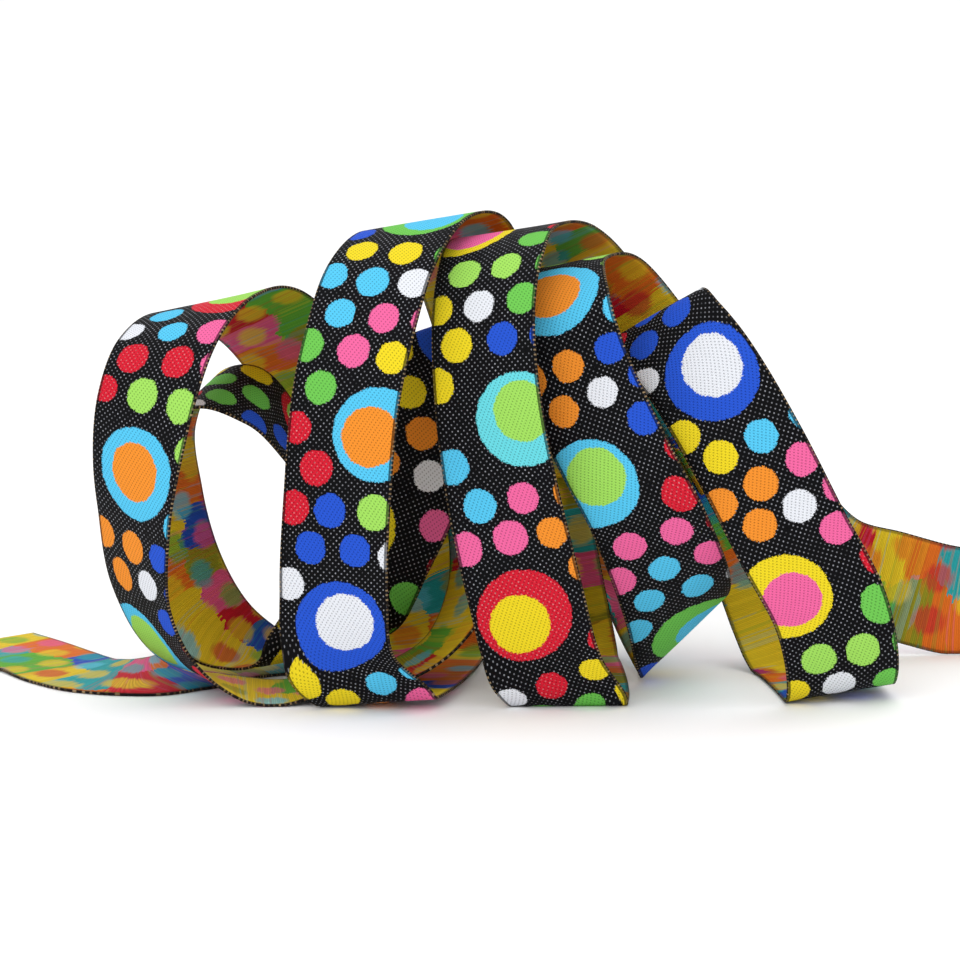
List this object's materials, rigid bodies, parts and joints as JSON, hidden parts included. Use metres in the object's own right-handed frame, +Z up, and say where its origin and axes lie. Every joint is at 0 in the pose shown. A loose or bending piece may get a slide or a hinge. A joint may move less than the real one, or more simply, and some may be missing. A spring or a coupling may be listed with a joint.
{
  "type": "jacquard ribbon coil",
  "caption": "A length of woven jacquard ribbon with dots, standing on edge in loose coils with two trailing tails, for trimming and craft scenes.",
  "frame": {"origin": "middle of the bounding box in plan, on the surface the ribbon stands on", "axes": "+X along the row of coils towards the tail on the right, +Y to the back, +Z up"},
  "size_m": [0.2231, 0.0749, 0.0942],
  "materials": {
    "ribbon_cloth": "woven polyester, black ground with bright dots outside and loose coloured weft inside"
  },
  "bodies": {
    "root": {"ribbon": "ribbon_cloth"}
  },
  "joints": []
}
